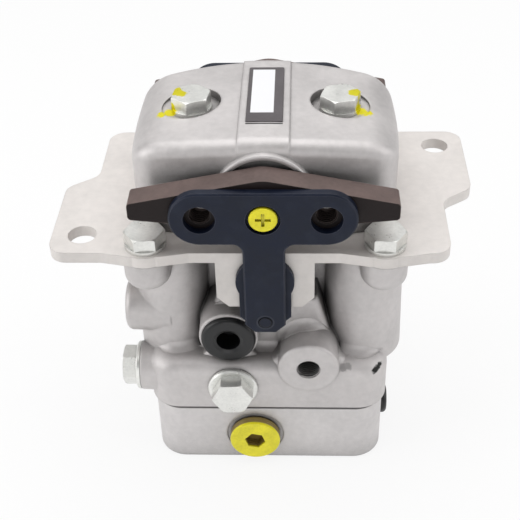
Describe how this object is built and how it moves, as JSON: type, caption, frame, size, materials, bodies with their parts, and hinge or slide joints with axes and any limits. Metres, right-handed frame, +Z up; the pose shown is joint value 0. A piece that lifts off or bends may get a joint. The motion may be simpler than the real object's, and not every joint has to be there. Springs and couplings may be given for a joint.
{
  "type": "foot pilot valve",
  "caption": "Pedal-operated hydraulic pilot valve: cast casing on a port block, mounting plate with damper tabs, arched rocker housing and a sprung wing lever at each end.",
  "frame": {"origin": "middle of the underside of the port block, the face that the valve stands on", "axes": "+Z up through the valve bores, +Y from the front lever to the rear lever along both pedal shafts, +X to the right seen from the front, towards the right mounting ear"},
  "size_m": [0.2146, 0.1348, 0.2005],
  "materials": {
    "cast_aluminium": "sand cast, satin",
    "machined_block": "cast and machined, satin",
    "zinc_plate": "zinc plated, satin",
    "plated_bolt": "bright zinc plated",
    "marked_bolt": "bright zinc plated with yellow paint marks",
    "yellow_paint": "yellow marking lacquer over plating",
    "brown_lever": "phosphated forging, oiled",
    "black_arm": "black oxide, satin",
    "black_rubber": "moulded rubber",
    "label_plate": "printed plate without words",
    "gasket": "fibre gasket",
    "bronze": "plain bearing bronze",
    "ground_steel": "ground",
    "spring_steel": "spring wire"
  },
  "bodies": {
    "valve_body": {"base_block": "machined_block", "base_screws": "ground_steel", "base_seals": "black_rubber", "socket_plug": "yellow_paint", "shuttle_spool": "ground_steel", "valve_casing": "cast_aluminium", "front_hex_plug": "plated_bolt", "side_hex_plug": "plated_bolt", "front_port_cap": "black_rubber", "side_port_cap": "black_rubber", "mounting_plate": "zinc_plate", "plate_bolts": "plated_bolt", "housing_bolts": "marked_bolt", "bolt_washers": "plated_bolt", "upper_housing": "cast_aluminium", "housing_gasket": "gasket", "name_plate": "label_plate", "shaft_seals": "black_rubber", "shaft_bushes": "bronze", "damper_screws": "plated_bolt", "pusher_wipers": "black_rubber", "front_damper_body": "black_arm", "rear_damper_body": "black_arm", "front_left_bushing": "ground_steel", "front_right_bushing": "ground_steel", "rear_left_bushing": "ground_steel", "rear_right_bushing": "ground_steel"},
    "front_pedal_lever": {"front_shaft": "ground_steel", "front_rocker": "ground_steel", "front_rocker_pin": "spring_steel", "front_lever": "brown_lever", "front_pedal_arm": "black_arm", "front_arm_screw": "yellow_paint", "front_drive_pin": "ground_steel"},
    "front_damper_lever": {"front_damper_arm": "black_arm"},
    "rear_pedal_lever": {"rear_shaft": "ground_steel", "rear_rocker": "ground_steel", "rear_rocker_pin": "spring_steel", "rear_lever": "brown_lever", "rear_pedal_arm": "black_arm", "rear_arm_screw": "yellow_paint", "rear_drive_pin": "ground_steel"},
    "rear_damper_lever": {"rear_damper_arm": "black_arm"},
    "front_left_pusher_set": {"front_left_pusher": "ground_steel", "front_left_return_spring": "spring_steel", "front_left_metering_spring": "spring_steel"},
    "front_left_spool_set": {"front_left_spool": "ground_steel"},
    "front_right_pusher_set": {"front_right_pusher": "ground_steel", "front_right_return_spring": "spring_steel", "front_right_metering_spring": "spring_steel"},
    "front_right_spool_set": {"front_right_spool": "ground_steel"},
    "rear_left_pusher_set": {"rear_left_pusher": "ground_steel", "rear_left_return_spring": "spring_steel", "rear_left_metering_spring": "spring_steel"},
    "rear_left_spool_set": {"rear_left_spool": "ground_steel"},
    "rear_right_pusher_set": {"rear_right_pusher": "ground_steel", "rear_right_return_spring": "spring_steel", "rear_right_metering_spring": "spring_steel"},
    "rear_right_spool_set": {"rear_right_spool": "ground_steel"}
  },
  "joints": [
    {"name": "front_lever_hinge", "type": "hinge", "parent": "valve_body", "child": "front_pedal_lever", "pos_m": [0, 0, 0.1695], "axis": [0, 1, 0], "range_deg": [-11.5, 11.5], "stiffness_Nm_per_rad": 12},
    {"name": "front_damper_hinge", "type": "hinge", "parent": "valve_body", "child": "front_damper_lever", "pos_m": [0, 0, 0.128], "axis": [0, 1, 0], "range_deg": [-32.5, 32.5]},
    {"name": "rear_lever_hinge", "type": "hinge", "parent": "valve_body", "child": "rear_pedal_lever", "pos_m": [0, 0, 0.1695], "axis": [0, 1, 0], "range_deg": [-11.5, 11.5], "stiffness_Nm_per_rad": 12},
    {"name": "rear_damper_hinge", "type": "hinge", "parent": "valve_body", "child": "rear_damper_lever", "pos_m": [0, 0, 0.128], "axis": [0, 1, 0], "range_deg": [-32.5, 32.5]},
    {"name": "front_left_pusher_slide", "type": "slide", "parent": "valve_body", "child": "front_left_pusher_set", "axis": [0, 0, 1], "range_m": [-0.0102, 0.0102], "deforming": ["front_left_return_spring", "front_left_metering_spring"]},
    {"name": "front_left_spool_slide", "type": "slide", "parent": "valve_body", "child": "front_left_spool_set", "axis": [0, 0, 1], "range_m": [-0.0016, 0.0016]},
    {"name": "front_right_pusher_slide", "type": "slide", "parent": "valve_body", "child": "front_right_pusher_set", "axis": [0, 0, 1], "range_m": [-0.0102, 0.0102], "deforming": ["front_right_return_spring", "front_right_metering_spring"]},
    {"name": "front_right_spool_slide", "type": "slide", "parent": "valve_body", "child": "front_right_spool_set", "axis": [0, 0, 1], "range_m": [-0.0016, 0.0016]},
    {"name": "rear_left_pusher_slide", "type": "slide", "parent": "valve_body", "child": "rear_left_pusher_set", "axis": [0, 0, 1], "range_m": [-0.0102, 0.0102], "deforming": ["rear_left_return_spring", "rear_left_metering_spring"]},
    {"name": "rear_left_spool_slide", "type": "slide", "parent": "valve_body", "child": "rear_left_spool_set", "axis": [0, 0, 1], "range_m": [-0.0016, 0.0016]},
    {"name": "rear_right_pusher_slide", "type": "slide", "parent": "valve_body", "child": "rear_right_pusher_set", "axis": [0, 0, 1], "range_m": [-0.0102, 0.0102], "deforming": ["rear_right_return_spring", "rear_right_metering_spring"]},
    {"name": "rear_right_spool_slide", "type": "slide", "parent": "valve_body", "child": "rear_right_spool_set", "axis": [0, 0, 1], "range_m": [-0.0016, 0.0016]}
  ],
  "couplings": [
    {"joint": "front_damper_hinge", "follows": "front_lever_hinge", "ratio": 2.8},
    {"joint": "rear_damper_hinge", "follows": "rear_lever_hinge", "ratio": 2.8},
    {"joint": "front_left_pusher_slide", "follows": "front_lever_hinge", "m_per_rad": 0.0505},
    {"joint": "front_left_spool_slide", "follows": "front_lever_hinge", "m_per_rad": 0.0075},
    {"joint": "front_right_pusher_slide", "follows": "front_lever_hinge", "m_per_rad": -0.0505},
    {"joint": "front_right_spool_slide", "follows": "front_lever_hinge", "m_per_rad": -0.0075},
    {"joint": "rear_left_pusher_slide", "follows": "rear_lever_hinge", "m_per_rad": 0.0505},
    {"joint": "rear_left_spool_slide", "follows": "rear_lever_hinge", "m_per_rad": 0.0075},
    {"joint": "rear_right_pusher_slide", "follows": "rear_lever_hinge", "m_per_rad": -0.0505},
    {"joint": "rear_right_spool_slide", "follows": "rear_lever_hinge", "m_per_rad": -0.0075}
  ]
}
